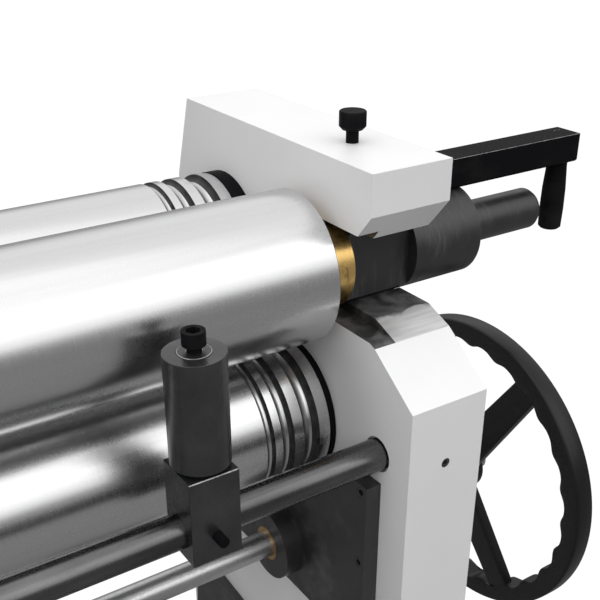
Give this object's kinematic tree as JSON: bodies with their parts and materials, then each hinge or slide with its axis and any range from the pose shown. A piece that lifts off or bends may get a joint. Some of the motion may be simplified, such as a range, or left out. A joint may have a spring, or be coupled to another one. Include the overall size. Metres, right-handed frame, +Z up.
{
  "type": "three-roll bending machine",
  "caption": "Floor-standing three-roll sheet bending machine with wire grooves, swing-out top roll with a release lever, a side guide roller and handwheel adjustment.",
  "frame": {"origin": "on the floor, at the centre of the four anchor holes", "axes": "+X along the rolls towards the release lever and handwheels, +Y towards the back, +Z up"},
  "size_m": [1.7191, 0.63, 1.0625],
  "materials": {
    "frame_paint": "satin",
    "base_paint": "satin",
    "roll_steel": "polished",
    "black_steel": "satin",
    "dark_steel": "satin",
    "bright_steel": "satin",
    "cast_black": "gloss",
    "brass": "machined",
    "bronze": "machined",
    "drive_paint": "satin",
    "panel_paint": "satin",
    "green": "gloss",
    "white_button": "gloss",
    "red": "gloss"
  },
  "bodies": {
    "machine": {"frame_right": "frame_paint", "frame_left": "frame_paint", "cross_foot_right": "base_paint", "cross_foot_left": "base_paint", "bed_beam_front": "base_paint", "bed_beam_back": "base_paint", "tie_bars": "bright_steel", "frame_studs": "dark_steel", "frame_screws": "black_steel", "shaft_plate_right": "black_steel", "shaft_plate_left": "black_steel", "rear_flanges": "black_steel", "pocket_covers": "frame_paint", "cross_bushes": "bronze", "guide_bar": "dark_steel", "swivel_housing": "dark_steel", "gearbox": "drive_paint", "motor": "drive_paint", "torque_studs": "bright_steel", "drive_cover": "frame_paint", "control_box": "panel_paint"},
    "top_roll": {"top_roll": "roll_steel", "swivel_ball": "bright_steel", "top_gear": "dark_steel"},
    "release": {"release_sleeve": "black_steel", "brass_bush": "brass", "pull_stub": "black_steel", "lever_bar": "black_steel", "lever_screws": "black_steel", "lever_handle": "black_steel"},
    "lock_screw": {"lock_screw": "black_steel"},
    "lower_carriage": {"lower_block_right": "dark_steel", "lower_block_left": "dark_steel", "lower_bushes": "bronze", "lower_screws": "bright_steel"},
    "lower_roll": {"lower_roll": "roll_steel", "lower_thrust_rings": "black_steel", "lower_gear": "dark_steel"},
    "rear_carriage": {"rear_block_right": "dark_steel", "rear_block_left": "dark_steel", "rear_bushes": "bronze", "rear_screws": "bright_steel"},
    "rear_roll": {"rear_roll": "roll_steel", "rear_thrust_rings": "black_steel"},
    "lower_nut_right": {"lower_nut_right": "bronze"},
    "lower_nut_left": {"lower_nut_left": "bronze"},
    "rear_nut_right": {"rear_nut_right": "bronze"},
    "rear_nut_left": {"rear_nut_left": "bronze"},
    "lower_drive": {"lower_cross_shaft": "bright_steel", "lower_handwheel": "cast_black"},
    "rear_drive": {"rear_cross_shaft": "bright_steel", "rear_handwheel": "cast_black"},
    "guide_slide": {"guide_block": "black_steel", "guide_screws": "black_steel", "guide_bush": "bright_steel"},
    "guide_roller": {"guide_roller": "dark_steel"},
    "forward_button": {"forward_button": "green"},
    "reverse_button": {"reverse_button": "white_button"},
    "stop_button": {"stop_button": "red"}
  },
  "joints": [
    {"name": "top_roll_spin", "type": "hinge", "parent": "machine", "child": "top_roll", "pos_m": [0, -0.05, 0.95], "axis": [1, 0, 0], "continuous": true},
    {"name": "sleeve_turn", "type": "hinge", "parent": "machine", "child": "release", "pos_m": [0.5394, -0.05, 0.95], "axis": [1, 0, 0], "range_deg": [-90, 0]},
    {"name": "lock_screw_lift", "type": "slide", "parent": "machine", "child": "lock_screw", "axis": [0, 0, 1], "range_m": [0, 0.014]},
    {"name": "lower_wheel_turn", "type": "hinge", "parent": "machine", "child": "lower_drive", "pos_m": [0, -0.028, 0.673], "axis": [1, 0, 0], "range_deg": [-240, 960]},
    {"name": "lower_lift", "type": "slide", "parent": "machine", "child": "lower_carriage", "axis": [0, 0, 1], "range_m": [-0.004, 0.016]},
    {"name": "lower_roll_spin", "type": "hinge", "parent": "lower_carriage", "child": "lower_roll", "pos_m": [0, -0.028, 0.813], "axis": [1, 0, 0], "continuous": true},
    {"name": "lower_nut_right_turn", "type": "hinge", "parent": "machine", "child": "lower_nut_right", "pos_m": [0.5754, -0.028, 0.673], "axis": [0, 0, 1], "range_deg": [-240, 960]},
    {"name": "lower_nut_left_turn", "type": "hinge", "parent": "machine", "child": "lower_nut_left", "pos_m": [-0.5754, -0.028, 0.673], "axis": [0, 0, 1], "range_deg": [-960, 240]},
    {"name": "rear_wheel_turn", "type": "hinge", "parent": "machine", "child": "rear_drive", "pos_m": [0, 0.12895, 0.39], "axis": [1, 0, 0], "range_deg": [-3600, 720]},
    {"name": "rear_lift", "type": "slide", "parent": "machine", "child": "rear_carriage", "axis": [0, -0.0872, 0.9962], "range_m": [-0.06, 0.012]},
    {"name": "rear_roll_spin", "type": "hinge", "parent": "rear_carriage", "child": "rear_roll", "pos_m": [0, 0.0814, 0.9335], "axis": [1, 0, 0], "continuous": true},
    {"name": "rear_nut_right_turn", "type": "hinge", "parent": "machine", "child": "rear_nut_right", "pos_m": [0.5754, 0.12895, 0.39], "axis": [0, -0.0872, 0.9962], "range_deg": [-3600, 720]},
    {"name": "rear_nut_left_turn", "type": "hinge", "parent": "machine", "child": "rear_nut_left", "pos_m": [-0.5754, 0.12895, 0.39], "axis": [0, -0.0872, 0.9962], "range_deg": [-720, 3600]},
    {"name": "guide_travel", "type": "slide", "parent": "machine", "child": "guide_slide", "axis": [1, 0, 0], "range_m": [-0.7, 0.09]},
    {"name": "guide_roller_spin", "type": "hinge", "parent": "guide_slide", "child": "guide_roller", "pos_m": [0.388, -0.142, 0.8215], "axis": [0, 0, 1], "continuous": true},
    {"name": "forward_press", "type": "slide", "parent": "machine", "child": "forward_button", "axis": [0, 1, 0], "range_m": [0, 0.004], "stiffness_N_per_m": 600},
    {"name": "reverse_press", "type": "slide", "parent": "machine", "child": "reverse_button", "axis": [0, 1, 0], "range_m": [0, 0.004], "stiffness_N_per_m": 600},
    {"name": "stop_press", "type": "slide", "parent": "machine", "child": "stop_button", "axis": [0, 1, 0], "range_m": [0, 0.004]}
  ],
  "couplings": [
    {"joint": "lower_roll_spin", "follows": "top_roll_spin", "ratio": -1},
    {"joint": "lower_lift", "follows": "lower_wheel_turn", "m_per_rad": 0.00095493},
    {"joint": "lower_nut_right_turn", "follows": "lower_wheel_turn", "ratio": 1},
    {"joint": "lower_nut_left_turn", "follows": "lower_wheel_turn", "ratio": -1},
    {"joint": "rear_lift", "follows": "rear_wheel_turn", "m_per_rad": 0.00095493},
    {"joint": "rear_nut_right_turn", "follows": "rear_wheel_turn", "ratio": 1},
    {"joint": "rear_nut_left_turn", "follows": "rear_wheel_turn", "ratio": -1}
  ]
}
